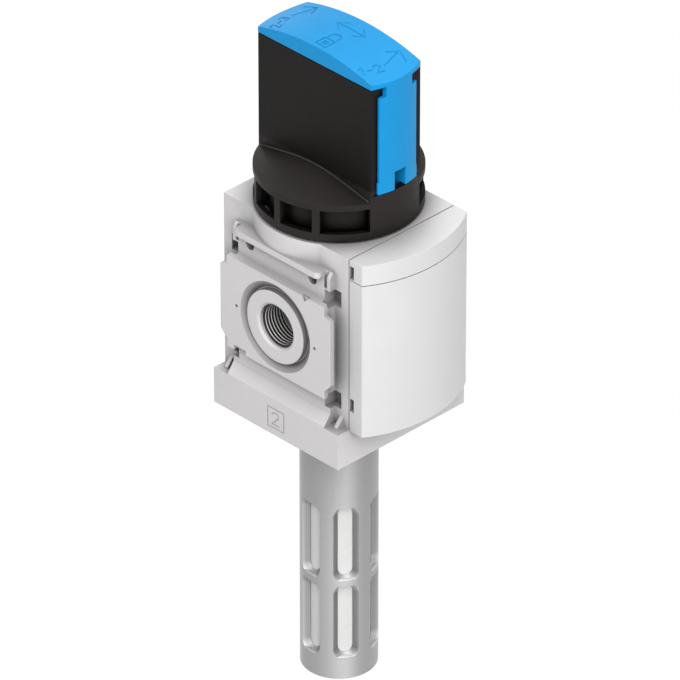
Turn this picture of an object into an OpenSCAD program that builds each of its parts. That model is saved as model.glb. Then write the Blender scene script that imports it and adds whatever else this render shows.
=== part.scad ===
// Rotary on-off valve of a modular compressed-air service unit, with its exhaust silencer.
// +X runs from the outlet to the supply port, +Y to the back and +Z up.
// The origin is the middle of the outlet port's mouth, on the left port face.
// The knob is drawn closed, with its grip pointing to the front.

/* [Module] */
// Width from one port face to the other
module_w = 62; // [60:0.5:66]
// Depth of the base and the body, front to back
module_d = 62; // [61.5:0.5:66]
// Width of the body between its side walls
body_w = 51; // [50:0.5:53]
// Height of the port axis above the underside
port_h = 45; // [43:0.5:50]
// Height of the body's top above the port axis
body_top = 38.9; // [38:0.1:42]
// Height of the square base
base_h = 14.35; // [10:0.05:16]
// Distance of the round collar from the body's front and back
collar_inset = 0.5; // [0.1:0.1:1.5]
// Height of the round collar
collar_h = 7.9; // [5:0.1:9]

/* [Ports] */
// Thread diameter of the supply and outlet ports, G3/8
port_d = 16.66; // [13.16:0.1:17.5]
// Depth of the port thread
port_depth = 12; // [10:0.5:12.5]
// Width of the chamfer at a port's mouth
port_chamfer = 0.85; // [0.5:0.05:1.6]
// Diameter of the raised ring round a port
boss_d = 28; // [25:0.5:30]
// Width of the dished face-seal groove round a port
seal_groove_w = 3.3; // [2:0.1:3.6]
// Depth of the face-seal groove
seal_groove_depth = 2.2; // [1:0.1:3]
// Diameter of the two register holes beside a port
register_d = 1.2; // [0.8:0.1:2]
// Distance of a register hole from the port axis
register_y = 19.4; // [18.5:0.1:22]

/* [Port Plate And Rails] */
// Half width of the port plate
plate_y = 27.3; // [26:0.1:29]
// Height of the port plate above the port axis
plate_top = 19; // [18.6:0.1:20]
// Depth of the port plate below the port axis
plate_bottom = 18.7; // [18.4:0.1:20]
// Thickness of the plate's free edges
plate_t = 1.8; // [1.2:0.1:2.4]
// Half width of the raised block that carries the plate, the rail and the shelf
block_y = 24.1; // [23.6:0.1:24.3]
// Distance that the block stands out from the side wall
block_t = 2.5; // [1.5:0.1:3]
// Half width of the clamping rail above the port
rail_y = 20.9; // [19:0.1:21]
// Thickness of the clamping rail
rail_h = 2.4; // [1.5:0.1:3]
// Rise of the shelf from the base to the block
shelf_rise = 4.6; // [2:0.1:5]
// Distance of the clamp pockets' inner sides from the middle
pocket_y = 21.4; // [20.5:0.1:22]
// Width of the four clamp pockets
pocket_w = 5.7; // [4:0.1:6]
// Height of the four clamp pockets
pocket_h = 6.5; // [4:0.1:6.8]
// Depth of the four clamp pockets in the side wall
pocket_depth = 3.4; // [2:0.1:3.6]
// Distance of the rail's two notches from the middle
notch_y = 15.5; // [12:0.1:18]
// Radius of the rail's two notches
notch_r = 2; // [1:0.1:2.2]

/* [Front Covers] */
// Depth of the covers' straight sides
cover_side = 6.2; // [4:0.1:8]
// Bulge of the covers' curved front
cover_bulge = 7.6; // [5:0.1:10]
// Wall thickness of the covers
cover_wall = 1.8; // [1.2:0.1:2.5]
// Height of the upper cover
upper_cover_h = 7.9; // [7:0.1:10]
// Distance of the lower cover's bottom edge from the underside
cover_foot = 13.9; // [12:0.1:20]
// Joint between the two covers
cover_gap = 0.25; // [0.1:0.05:0.5]
// Depth of the pry slots in the covers' side edges
pry_depth = 2.2; // [1:0.1:3]
// Height of the pry slots
pry_h = 5.2; // [3:0.1:5.5]
// Height of the lower pry slots above the cover's foot
pry_level = 8.4; // [2:0.1:20]
// Radius of the snap pegs on the covers
peg_r = 2; // [1.5:0.1:2.4]
// Length of the snap pegs
peg_len = 5; // [3:0.5:7]

/* [Knob] */
// Distance of the knob's skirt from the collar's edge
skirt_inset = 0.6; // [0.2:0.1:1.5]
// Wall thickness of the skirt, the deck and the grip
knob_wall = 2.1; // [1.6:0.1:2.4]
// Gap between the body and the skirt
skirt_gap = 0.9; // [0.4:0.1:1.5]
// Height that the deck rises from its rim to the grip
deck_rise = 4.2; // [2:0.1:6]
// Height of the grip above the rim
grip_h = 44.9; // [40:0.1:50]
// Half width of the grip
grip_x = 11.9; // [11.4:0.1:14]
// Distance of the grip's flat ends from the skirt's radius
grip_inset = 2.3; // [2.1:0.1:2.5]
// Solid skirt below the windows
window_sill = 2.9; // [2:0.1:4]
// Solid skirt above the windows
window_head = 2.3; // [1.5:0.1:3]
// Width of the posts between the windows
post_w = 2.8; // [2:0.1:4]

/* [Lock Slide] */
// Travel of the slide, which frees the gap for a padlock
lift = 8; // [6:0.5:9]
// Half width of the slide's legs
leg_x = 8.85; // [8:0.05:10]
// Half width of the slide's necks
neck_x = 6.1; // [5:0.1:7]
// Height of the necks between the cap and the legs
neck_h = 4.1; // [3:0.1:6]
// Distance that the slide stands out beyond the skirt
slide_proud = 0.2; // [0:0.05:0.5]
// Height of the cap's side band at its ends
band_h = 1.3; // [1:0.1:2.5]
// Crown of the cap from its ends to its middle
crown_h = 4.8; // [3:0.1:6]
// Thickness of the cap's roof
roof_t = 2; // [1.5:0.1:2.5]
// Half width of the notch between the feet
foot_notch_x = 2.6; // [2:0.1:3.2]
// Height of the notch between the feet
foot_notch_h = 7.2; // [4:0.1:9]
// Height of the wider feet at the legs' ends
foot_h = 4.5; // [2:0.1:6]

/* [Bonnet And Spindle] */
// Radius of the bonnet's flange
flange_r = 24; // [23.5:0.1:24.6]
// Thickness of the bonnet's flange
flange_t = 5; // [4.5:0.1:5.5]
// Radius of the bonnet's plug
plug_r = 16; // [15.5:0.1:17]
// Height of the bonnet's plug
plug_h = 8; // [7:0.1:8.5]
// Radius of the bonnet's neck
neck_r = 13; // [12:0.1:14]
// Radius of the neck's seat for the lock ring
ring_seat_r = 11; // [10:0.1:11.6]
// Thickness of the lock ring
ring_t = 3.2; // [2:0.1:4]
// Gap between the lock ring and the skirt, which the slide's hooks pass
ring_gap = 3.8; // [3.5:0.1:4.8]
// Radius of the spindle
spindle_r = 6; // [5:0.1:6.5]
// Radius of the spindle's cam cup
cup_r = 9.9; // [9.4:0.1:10.2]
// Length of the spindle inside the knob's hub
hub_depth = 11.5; // [9:0.5:14]
// Radius of the bonnet screws
screw_r = 2; // [1.5:0.1:2.2]
// Radius of the bonnet screws' circle
screw_circle_r = 20; // [19.7:0.1:20.3]
// Length of the bonnet screws in the housing
screw_len = 8; // [6:0.5:10]

/* [Valve] */
// Travel of the spool over a quarter turn
stroke = 6; // [5:0.5:7]
// Height of a sealing land in the sleeve
land_h = 3; // [3:0.1:4]
// Height of the supply chamber
supply_h = 7.5; // [6:0.5:8]
// Height of the outlet chamber
outlet_h = 13; // [12.5:0.5:14]
// Middle of the upper land above the port axis
land_z = 5.5; // [5:0.1:6]
// Outer radius of the sleeve
sleeve_r = 13; // [12.8:0.1:13.6]
// Radius of the sleeve's chambers
chamber_r = 10.4; // [9.6:0.1:10.8]
// Radius of the spool's pistons
spool_r = 8; // [7.8:0.1:8.4]
// Radius of the spool's core between the pistons
core_r = 4.5; // [3.5:0.1:5]
// Radius of the stem that enters the cam cup
stem_r = 6.2; // [5.5:0.1:6.6]
// Radius of the cross pin
pin_r = 1.5; // [1.2:0.1:1.8]
// Wire radius of the return spring
wire_r = 0.8; // [0.5:0.05:1]
// Mean radius of the return spring
spring_r = 6.4; // [6:0.1:6.8]
// Turns of the return spring
spring_turns = 6; // [4:1:7]
// Radius of the ring channels in the housing
channel_r = 17; // [15.5:0.1:17.4]

/* [Silencer] */
// Outer radius of the silencer tube
tube_r = 14; // [13.5:0.1:15]
// Length of the silencer tube
tube_l = 108.7; // [104:0.1:120]
// Wall thickness of the silencer tube
tube_wall = 2.6; // [2:0.1:3]
// Radius of the exhaust thread, G1/2
exhaust_r = 10.48; // [9.5:0.01:10.8]
// Length of each thread of the nipple
nipple_thread = 11.5; // [9:0.5:12]
// Half width of a slot at the tube's surface
slot_x = 5.55; // [4.5:0.05:5.8]
// Length of a slot at the tube's surface
slot_l = 30.4; // [24:0.1:31]
// Distance that the slots' round ends are cut short at the surface
slot_trim = 1.8; // [0:0.1:2.5]
// Web between the two rows of slots
slot_web = 2.6; // [2:0.1:4]
// Distance from the tube's end to the lower row of slots
slot_foot = 9.1; // [8:0.1:12]
// Number of slots in a row
slot_count = 6; // [4:1:6]
// Direction of the first slot
slot_angle = 56.6; // [0:0.1:60]
// Wall thickness of the sintered insert
insert_wall = 2.7; // [2:0.1:4]

/* [Clearances] */
// Gap between pieces of one body that fit in each other
fit_gap = 0.05; // [0.02:0.01:0.1]
// Radial clearance of turning and sliding fits
run_gap = 0.07; // [0.03:0.01:0.1]
// Gap beside the sliding plastic legs
slide_gap = 0.2; // [0.1:0.05:0.3]
// Gap between a moving piece and its end stop
stop_gap = 0.3; // [0.2:0.05:0.4]

/* [Hidden] */
$fn = 72;

cast_grey = [0.78, 0.775, 0.77];
cover_grey = [0.9, 0.9, 0.9];
knob_black = [0.14, 0.13, 0.13];
slide_blue = [0.2, 0.6, 0.88];
steel_grey = [0.7, 0.71, 0.73];
brass_gold = [0.78, 0.62, 0.34];
alu_silver = [0.72, 0.73, 0.74];
rubber_black = [0.08, 0.08, 0.08];
insert_white = [0.95, 0.95, 0.94];

// Levels of the housing
collar_r = module_d / 2 - collar_inset;
underside = -port_h;
base_top = underside + base_h;
collar_z = body_top - collar_h;
rail_z = collar_z - rail_h;
block_x = -body_w / 2 - block_t;
pocket_levels = [plate_top - 1.6, 1.3 - plate_bottom - pocket_h];

// Levels of the valve, from the sealing lands upwards and downwards
upper_land_top = land_z + land_h / 2;
upper_land_low = land_z - land_h / 2;
lower_land_top = upper_land_low - outlet_h;
lower_land_low = lower_land_top - land_h;
guide_low = upper_land_top + supply_h;
piston_h = 3.4;
seal_w = 1.8;
guide_seal_z = guide_low + stroke + 1.1;
sleeve_top = guide_seal_z + piston_h / 2 + 0.7;
sleeve_foot = base_top;
spring_seat_h = 4;
spring_low = sleeve_foot + spring_seat_h;
upper_seal_z = land_z;
lower_seal_z = lower_land_top - land_h / 2 + stroke;
spring_top = lower_seal_z - piston_h / 2;

// Levels of the bonnet and the cam
plug_low = sleeve_top + fit_gap;
flange_z = plug_low + plug_h;
cup_low = sleeve_top + 0.4;
pin_z = cup_low + 3.6 + stroke;
pin_reach = cup_r + 2;
stem_bore_r = stem_r + run_gap;
cam_angle = 90;
cam_slope = atan(stroke / (cam_angle / 360 * 2 * PI * stem_bore_r));
cam_head = pin_r / cos(cam_slope) + 0.1;
dwell = asin((pin_r + 0.3) / stem_bore_r);
cup_top = pin_z + cam_head + 2.1;
washer_t = 0.5;
bearing_z = cup_top + washer_t + 2 * fit_gap;

// Levels of the knob and the slide
skirt_r = collar_r - skirt_inset;
skirt_in = skirt_r - knob_wall;
grip_y = skirt_r - grip_inset;
slide_r = skirt_r + slide_proud;
ring_r = skirt_in - ring_gap;
skirt_low = body_top + skirt_gap;
hook_low = skirt_low + 1.4;
hook_h = lift - 0.6;
ring_z = hook_low + hook_h + 0.4;
neck_top = ring_z + ring_t + 1.8;
rim_z = ring_z + ring_t + 2;
grip_top = rim_z + grip_h;
leg_foot = rim_z + 2.7;
ledge_z = leg_foot - stop_gap;
hub_low = neck_top + 0.5;
hub_r = spindle_r + 3;
hub_top = hub_low + hub_depth;
floor_t = 2;
seat_z = hub_top + floor_t;
prong_y = grip_y - 2.7;
prong_t = 2;
hook_y = ring_r - 3.5;
prong_x = foot_notch_x + 0.2;
cap_z = grip_top + stop_gap;
leg_top = cap_z - neck_h;
lug_t = 1.5;
lug_h = 2.2;
lug_top = grip_top - knob_wall - lift - 0.2;

// Levels of the silencer
tube_low = underside - tube_l;
washer_h = 1;
tube_top = underside - washer_h;
tube_bore = tube_r - tube_wall;
nipple_top = underside + nipple_thread;
nipple_low = tube_top - nipple_thread;
nipple_bore = exhaust_r - 2.6;
disc_t = 3;
disc_z = tube_low + 0.4;

// Outline of the covers
cover_r = ((body_w / 2) ^ 2 + cover_bulge ^ 2) / (2 * cover_bulge);
cover_y = module_d / 2 + cover_side + cover_bulge;
cover_split = body_top - upper_cover_h;
cover_low = underside + cover_foot;

// Crown of the slide's cap
crown_r = (slide_r ^ 2 + crown_h ^ 2) / (2 * crown_h);
crown_z = cap_z + band_h + crown_h;

module place() {
  translate([module_w / 2, 0, 0]) children();
}

module box(x, y, z) {
  translate([x[0], y[0], z[0]]) cube([x[1] - x[0], y[1] - y[0], z[1] - z[0]]);
}

module disc(r, z) {
  translate([0, 0, z[0]]) cylinder(r = r, h = z[1] - z[0]);
}

module tube(r_out, r_in, z) {
  difference() {
    disc(r_out, z);
    disc(r_in, [z[0] - 1, z[1] + 1]);
  }
}

// Extrudes an outline drawn in Y and Z along X
module along_x(x, len) {
  translate([x, 0, 0]) rotate([90, 0, 90]) linear_extrude(height = len) children();
}

// Extrudes an outline drawn in X and Z along Y, about the middle
module along_y(len) {
  rotate([90, 0, 0]) linear_extrude(height = len, center = true) children();
}

// Lies a cylinder along X from one place to another
module rod_x(r, x, y, z) {
  translate([x[0], y, z]) rotate([0, 90, 0]) cylinder(r = r, h = x[1] - x[0]);
}

module both_sides() {
  children();
  mirror([1, 0, 0]) children();
}

module front_and_back() {
  children();
  mirror([0, 1, 0]) children();
}

// Round seal that fills the space between two radii
module o_ring(r_in, r_out, z) {
  wire = (r_out - r_in) / 2;
  translate([0, 0, z]) rotate_extrude() translate([r_in + wire, 0]) circle(r = wire, $fn = 24);
}

// Groove for a round seal, cut into the outside of a shaft
module groove(r_floor, r_shaft, z, w) {
  tube(r_shaft + 1, r_floor, [z - w / 2, z + w / 2]);
}

// Outline of the port plate, in Y and Z, with its stepped corners
module plate_outline() {
  foot_y = plate_y - 3;
  half = [[0, plate_top], [foot_y - 0.9, plate_top], [foot_y, plate_top - 0.8],
          [foot_y, plate_top - 3.6], [plate_y, plate_top - 4.7], [plate_y, 6.6 - plate_bottom],
          [foot_y, 3.3 - plate_bottom], [foot_y, -plate_bottom], [0, -plate_bottom]];
  polygon(half);
  mirror([1, 0]) polygon(half);
}

// Plate with free edges, nicked at its top and notched at its foot
module port_plate() {
  face = -module_w / 2;
  difference() {
    union() {
      along_x(face, plate_t) plate_outline();
      along_y(2 * block_y - 0.4) polygon([
        [face, -plate_bottom], [face, plate_top], [block_x, plate_top + 0.8],
        [block_x + 1, plate_top + 0.8], [block_x + 1, -plate_bottom]]);
    }
    along_x(face - 1, 1 + plate_t) polygon([
      [-13.2, plate_top + 0.2], [-14.3, plate_top - 2], [-16.9, plate_top + 0.2]]);
    box([face - 1, face + plate_t], [14.9, 20.7], [-plate_bottom - 1, 1.9 - plate_bottom]);
  }
}

// Raised block behind the plate, with a hooked lug at each end of the rail
module side_block() {
  lug_low = rail_z - 4;
  difference() {
    box([block_x, 1 - body_w / 2], [-block_y, block_y], [base_top - 1, collar_z]);
    front_and_back() {
      box([block_x - 1, block_x + 0.8], [-block_y + 1.5, -rail_y - 0.3], [lug_low, collar_z + 1]);
      translate([block_x + 0.8, -block_y + 2.25, lug_low]) cylinder(r = 0.75, h = collar_z);
    }
    along_y(2 * block_y + 2) polygon([
      [block_x - 1, collar_z - 3.5], [block_x + 2, collar_z + 1], [block_x - 1, collar_z + 1]]);
  }
}

// Rail with round corners that the module clamps hook over
module clamp_rail() {
  corner = 2;
  face = -module_w / 2;
  box([face, 1 - body_w / 2], [corner - rail_y, rail_y - corner], [rail_z, collar_z]);
  box([face + corner, 1 - body_w / 2], [-rail_y, rail_y], [rail_z, collar_z]);
  for (y = [-1, 1]) translate([face + corner, y * (rail_y - corner), 0])
    disc(corner, [rail_z, collar_z]);
}

// Sloping shelf on the base, with a small gusset beyond each end
module shelf() {
  face = -module_w / 2;
  along_y(2 * block_y) polygon([
    [face, base_top - 1], [face, base_top + 0.4], [face + 0.5, base_top + 1.1],
    [block_x - 0.5, base_top + shelf_rise - 0.7], [block_x, base_top + shelf_rise],
    [block_x + 1, base_top + shelf_rise], [block_x + 1, base_top - 1]]);
  front_and_back() translate([0, block_y + 3.3, 0]) along_y(1.6) polygon([
    [block_x - 0.6, base_top - 1], [block_x - 0.6, base_top + 0.6],
    [-body_w / 2, base_top + shelf_rise - 0.3], [1 - body_w / 2, base_top - 1]]);
}

// Pockets behind the plate's corners and round-footed notches under the rail
module clamp_pockets() {
  notch_z = rail_z - notch_r - 1.2;
  notch_x = [block_x - 1, 2 - body_w / 2];
  for (z = pocket_levels) front_and_back()
    box([plate_t - module_w / 2, pocket_depth - body_w / 2],
        [pocket_y, pocket_y + pocket_w], [z, z + pocket_h]);
  front_and_back() {
    rod_x(notch_r, notch_x, notch_y, notch_z);
    box(notch_x, [notch_y - notch_r, notch_y + notch_r], [notch_z, rail_z]);
  }
}

// Threaded port with its chamfer and its face-seal groove, on the left side
module port_cut() {
  port_r = port_d / 2;
  face = -module_w / 2;
  rod_x(port_r, [face - 1, face + port_depth], 0, 0);
  translate([face, 0, 0]) rotate([0, 90, 0])
    cylinder(r1 = port_r + port_chamfer, r2 = port_r, h = port_chamfer);
  difference() {
    translate([face, 0, 0]) rotate([0, 90, 0])
      cylinder(r1 = boss_d / 2 + seal_groove_w, r2 = boss_d / 2 + 0.5, h = seal_groove_depth);
    rod_x(boss_d / 2, [face - 2, face + seal_groove_depth + 1], 0, 0);
  }
  front_and_back() rod_x(register_d / 2, [face - 1, face + 2.5], register_y, 0);
}

// Bores and channels that lead the air, all round the spindle axis
module air_ways() {
  way_r = 4.4;
  way_in = sleeve_r - 1;
  way_out = module_w / 2 - port_depth + 4;
  supply_mid = (upper_land_top + guide_low) / 2;
  outlet_mid = (upper_land_low + lower_land_top) / 2;
  disc(exhaust_r, [underside - 1, sleeve_foot + 1]);
  disc(sleeve_r + fit_gap, [sleeve_foot, sleeve_top + 1]);
  disc(plug_r + fit_gap, [sleeve_top, flange_z]);
  disc(flange_r + fit_gap, [flange_z - fit_gap, body_top + 1]);
  disc(channel_r, [upper_land_top + 0.5, guide_low - 0.5]);
  disc(channel_r, [lower_land_top + 2, upper_land_low - 2]);
  rod_x(way_r, [way_in, way_out], 0, supply_mid - 1.2);
  rod_x(way_r, [-way_out, -way_in], 0, outlet_mid);
}

module screw_places() {
  for (a = [45:90:315]) rotate(a) translate([screw_circle_r, 0, 0]) children();
}

module peg_places(z) {
  for (x = [-1, 1]) translate([x * (body_w / 2 - 6), 0, z]) children();
}

module peg_holes() {
  hole_r = peg_r + run_gap;
  for (z = peg_levels) peg_places(z) translate([0, 1 - module_d / 2 + peg_len, 0])
    rotate([90, 0, 0]) cylinder(r = hole_r, h = peg_len + 2);
}

peg_levels = [cover_low + 9, cover_split - 9, cover_split + upper_cover_h / 2];

module housing() {
  color(cast_grey) place() difference() {
    union() {
      box([-body_w / 2, body_w / 2], [-module_d / 2, module_d / 2], [base_top - 1, body_top]);
      box([-module_w / 2, module_w / 2], [-module_d / 2, module_d / 2], [underside, base_top]);
      disc(collar_r, [collar_z, body_top]);
      both_sides() {
        port_plate();
        side_block();
        clamp_rail();
        shelf();
      }
    }
    air_ways();
    both_sides() {
      port_cut();
      clamp_pockets();
    }
    screw_places() disc(screw_r + fit_gap, [flange_z - screw_len - 1, flange_z + 1]);
    peg_holes();
  }
}

// Outline of a cover from above, shrunk by a wall all round but its back
module cover_outline(wall) {
  intersection() {
    translate([0, cover_r - cover_y]) circle(r = cover_r - wall, $fn = 144);
    translate([wall - body_w / 2, -cover_y]) square([body_w - 2 * wall, cover_y - module_d / 2]);
  }
}

// Open-backed shell between two levels, with two pegs at each level given
module cover_shell(z, pegs) {
  difference() {
    translate([0, 0, z[0]]) linear_extrude(height = z[1] - z[0]) cover_outline(0);
    difference() {
      translate([0, 0, z[0] + cover_wall]) linear_extrude(height = z[1] - z[0] - 2 * cover_wall)
        cover_outline(cover_wall);
      for (p = pegs) peg_places(p) rotate([90, 0, 0]) cylinder(r = peg_r + 1, h = cover_y);
    }
    translate([0, fit_gap - module_d / 2, 0]) mirror([0, 1, 0])
      box([-body_w, body_w], [0, 2 * fit_gap], [z[0] - 1, z[1] + 1]);
  }
  for (p = pegs) peg_places(p) translate([0, peg_len - module_d / 2, 0])
    rotate([90, 0, 0]) cylinder(r = peg_r, h = peg_len + 1);
}

module pry_slots(z) {
  both_sides() box([-body_w, cover_wall + 0.2 - body_w / 2],
                   [-module_d / 2 - pry_depth, 1 - module_d / 2], [z, z + pry_h]);
}

module front_cover() {
  color(cover_grey) place() difference() {
    cover_shell([cover_low, cover_split - cover_gap], [peg_levels[0], peg_levels[1]]);
    pry_slots(cover_low + pry_level);
  }
}

module upper_cover() {
  color(cover_grey) place() difference() {
    cover_shell([cover_split, body_top], [peg_levels[2]]);
    pry_slots(cover_split + 0.4);
  }
}

module bonnet() {
  clip_z = ring_z + ring_t + 0.2;
  color(knob_black) place() difference() {
    union() {
      disc(plug_r, [plug_low, flange_z + 1]);
      disc(flange_r, [flange_z, flange_z + flange_t]);
      disc(neck_r, [flange_z + 1, ring_z - fit_gap]);
      disc(ring_seat_r, [ring_z - 1, neck_top]);
    }
    disc(cup_r + run_gap, [plug_low - 1, bearing_z]);
    disc(spindle_r + run_gap, [plug_low, neck_top + 1]);
    box([-pin_reach - 0.3, pin_reach + 0.3], [-pin_r - run_gap, pin_r + run_gap],
        [plug_low - 1, pin_z + pin_r + 0.5]);
    groove(plug_r - 2, plug_r, flange_z - 3, 2.6);
    groove(ring_seat_r - 0.8, ring_seat_r, clip_z + 0.5, 1.1);
    screw_places() {
      disc(screw_r + 0.2, [flange_z - 1, flange_z + flange_t + 1]);
      disc(screw_head_r + 0.2, [flange_z + flange_t - screw_head_h, flange_z + flange_t + 1]);
    }
    both_sides() box([-ring_seat_r - 1, 0.8 - ring_seat_r], [-ring_r, ring_r], [ring_z, neck_top + 1]);
  }
}

screw_head_r = 1.75 * screw_r;
screw_head_h = 3.5;

module bonnet_screws() {
  head_z = flange_z + flange_t - screw_head_h + fit_gap;
  color(steel_grey) place() screw_places() difference() {
    union() {
      disc(screw_r, [flange_z - screw_len, head_z + 1]);
      disc(screw_head_r, [head_z, flange_z + flange_t]);
    }
    translate([0, 0, head_z + 1]) cylinder(r = 0.9 * screw_r, h = screw_head_h, $fn = 6);
  }
}

module bonnet_o_ring() {
  color(rubber_black) place() o_ring(plug_r - 2 + fit_gap, plug_r, flange_z - 3);
}

// Castellated ring that the raised slide's hooks drop into
module lock_ring() {
  notch_x = neck_x + 0.4;
  color(steel_grey) place() difference() {
    tube(ring_r, ring_seat_r + fit_gap, [ring_z, ring_z + ring_t]);
    for (a = [0:90:270]) rotate(a) box([-notch_x, notch_x], [-ring_r - 1, stop_gap - hook_y],
                                       [ring_z - 1, ring_z + ring_t + 1]);
  }
  color(steel_grey) place() both_sides() intersection() {
    tube(ring_seat_r + 2, ring_seat_r - 0.75, [ring_z, ring_z + ring_t]);
    box([-ring_seat_r - 2, 0.7 - ring_seat_r], [-ring_seat_r, ring_seat_r], [ring_z, ring_z + ring_t]);
  }
}

module ring_clip() {
  clip_z = ring_z + ring_t + 0.2;
  color(steel_grey) place() difference() {
    tube(ring_seat_r + 1.6, ring_seat_r - 0.8 + fit_gap, [clip_z, clip_z + 1]);
    box([-2.5, 2.5], [-ring_seat_r - 2, 0], [clip_z - 1, clip_z + 2]);
  }
}

module thrust_washer() {
  color(insert_white) place()
    tube(cup_r - 0.2, spindle_r + 0.2, [cup_top + fit_gap, cup_top + fit_gap + washer_t]);
}

// Drop of the cam's edge at an angle behind the pin's resting place
function cam_drop(a) = stroke * max(0, min(1, -a / cam_angle));

// Space under one cam ramp, swept from its upper dwell to its lower one
module cam_space() {
  steps = 15;
  angles = [-cam_angle - dwell, for (i = [0:steps]) cam_angle * (i / steps - 1), dwell];
  r_in = stem_bore_r - 1;
  r_out = cup_r + 1;
  low = cup_low - 1;
  points = [for (a = angles) let (top = pin_z + cam_head - cam_drop(a)) each [
    [r_in * cos(a), r_in * sin(a), low], [r_out * cos(a), r_out * sin(a), low],
    [r_out * cos(a), r_out * sin(a), top], [r_in * cos(a), r_in * sin(a), top]]];
  last = 4 * (len(angles) - 1);
  sides = [for (i = [0:4:last - 4]) for (k = [0:3]) let (n = (k + 1) % 4) each [
    [i + k, i + n, i + 4 + n], [i + k, i + 4 + n, i + 4 + k]]];
  polyhedron(points, concat([[3, 2, 1, 0]], sides, [[last, last + 1, last + 2, last + 3]]));
}

module cam_spindle() {
  spindle_top = hub_top - 0.2;
  color(steel_grey) place() difference() {
    union() {
      disc(cup_r, [cup_low, cup_top]);
      disc(spindle_r, [cup_top - 1, spindle_top]);
    }
    disc(stem_bore_r, [cup_low - 1, pin_z + 2.6]);
    cam_space();
    rotate(180) cam_space();
    groove(spindle_r - 1.2, spindle_r, bearing_z + 5, 1.6);
    disc(knob_screw_r + fit_gap, [hub_low - 5, spindle_top + 1]);
    box([-spindle_r, spindle_r], [spindle_r - 1.5, spindle_r + 1], [hub_low, spindle_top + 1]);
  }
}

module spindle_o_ring() {
  color(rubber_black) place() o_ring(spindle_r - 1.2 + fit_gap, spindle_r, bearing_z + 5);
}

knob_screw_r = 2.5;

module knob_screw() {
  head_h = 5;
  color(steel_grey) place() difference() {
    union() {
      disc(knob_screw_r, [hub_low - 3, seat_z + 1]);
      disc(1.7 * knob_screw_r, [seat_z + fit_gap, seat_z + fit_gap + head_h]);
    }
    translate([0, 0, seat_z + 2.5]) cylinder(r = 2.3, h = head_h, $fn = 6);
  }
}

// Skirt and sloping deck of the knob, as one revolved wall
module knob_shell() {
  inner_r = grip_x - 1;
  deck_z = rim_z + deck_rise * (skirt_r - inner_r) / (skirt_r - grip_x);
  rotate_extrude($fn = 144) polygon([
    [skirt_in, skirt_low], [skirt_r, skirt_low], [skirt_r, rim_z], [inner_r, deck_z],
    [inner_r, deck_z - knob_wall], [skirt_in, rim_z - knob_wall + 0.4]]);
}

// Four windows on each side of the skirt, mirrored about its middle post
module skirt_windows() {
  post = asin(post_w / 2 / skirt_r);
  edge = acos(grip_x / skirt_r);
  z = [skirt_low + window_sill, rim_z - window_head];
  far = 2 * skirt_r;
  both_sides() front_and_back() for (span = [[post, rib_pitch - post], [rib_pitch + post, edge]])
    translate([0, 0, z[0]]) linear_extrude(height = z[1] - z[0]) polygon([
      [0, 0], [far * cos(span[0]), far * sin(span[0])], [far * cos(span[1]), far * sin(span[1])]]);
}

rib_pitch = 30;

// Ribs inside the skirt that carry the posts between its windows
module skirt_ribs() {
  rib_in = ring_r + 0.8;
  for (side = [0, 180]) for (a = [-rib_pitch, 0, rib_pitch]) rotate(side + a)
    box([rib_in, skirt_in + 0.5], [-0.8, 0.8], [skirt_low + 1, rim_z - 1]);
}

// Dark wall that closes the windows to the inside, open where the slide's hooks run
module inner_wall() {
  for (side = [-1, 1]) intersection() {
    tube(ring_r + 1.6, ring_r + 0.4, [skirt_low, rim_z - 0.5]);
    translate([side * (neck_x + 1.5 + skirt_r), 0, 0])
      box([-skirt_r, skirt_r], [-skirt_r, skirt_r], [skirt_low, rim_z]);
  }
}

module knob() {
  slot_x = neck_x + slide_gap;
  slot_low = [prong_y - slide_gap, prong_y + prong_t + slide_gap];
  color(knob_black) place() {
    difference() {
      union() {
        difference() {
          knob_shell();
          skirt_windows();
        }
        box([-grip_x, grip_x], [-grip_y, grip_y], [rim_z, grip_top]);
        intersection() {
          tube(skirt_r, skirt_in, [rim_z - 1, ledge_z]);
          box([-grip_x, grip_x], [-skirt_r, skirt_r], [rim_z - 1, ledge_z]);
        }
        skirt_ribs();
        inner_wall();
      }
      box([knob_wall - grip_x, grip_x - knob_wall],
          [knob_wall - grip_y, grip_y - knob_wall], [rim_z - 5, grip_top - knob_wall]);
      front_and_back() {
        box([-slot_x, slot_x], slot_low, [skirt_low - 1, grip_top + 1]);
        box([-slot_x, slot_x], [prong_y - slide_gap, skirt_r + 1], [ledge_z, grip_top + 1]);
      }
      disc(5, [grip_top - knob_wall - 1, grip_top + 1]);
    }
    knob_hub();
  }
}

// Hub that takes the flatted spindle, hung from the grip's side walls by its floor
module knob_hub() {
  difference() {
    union() {
      disc(hub_r, [hub_low, seat_z]);
      box([-grip_x + 1, grip_x - 1], [-hub_r - 2, hub_r + 2], [hub_top, seat_z]);
      box([-grip_x + 1, grip_x - 1], [-1, 1], [hub_low + 1, seat_z]);
    }
    difference() {
      disc(spindle_r + fit_gap, [hub_low - 1, hub_top]);
      box([-spindle_r - 1, spindle_r + 1], [spindle_r - 1.5 + fit_gap, spindle_r + 2],
          [hub_low - 2, hub_top + 1]);
    }
    disc(knob_screw_r + 0.2, [hub_low, seat_z + 1]);
  }
}

// Cap of the slide: a crowned lid over the grip, hollow below
module slide_cap() {
  module crowned(r, x, top_r, z_low) {
    intersection() {
      disc(r, [z_low, crown_z + 1]);
      box([-x, x], [-r, r], [z_low, crown_z + 1]);
      translate([0, 0, crown_z - crown_r]) rotate([0, 90, 0])
        cylinder(r = top_r, h = 2 * r, center = true, $fn = 180);
    }
  }
  difference() {
    crowned(slide_r, grip_x, crown_r, cap_z);
    intersection() {
      crowned(slide_r, grip_x - roof_t, crown_r - roof_t, cap_z - 1);
      box([-grip_x, grip_x], [-prong_y, prong_y], [cap_z - 1, crown_z]);
    }
  }
}

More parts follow.
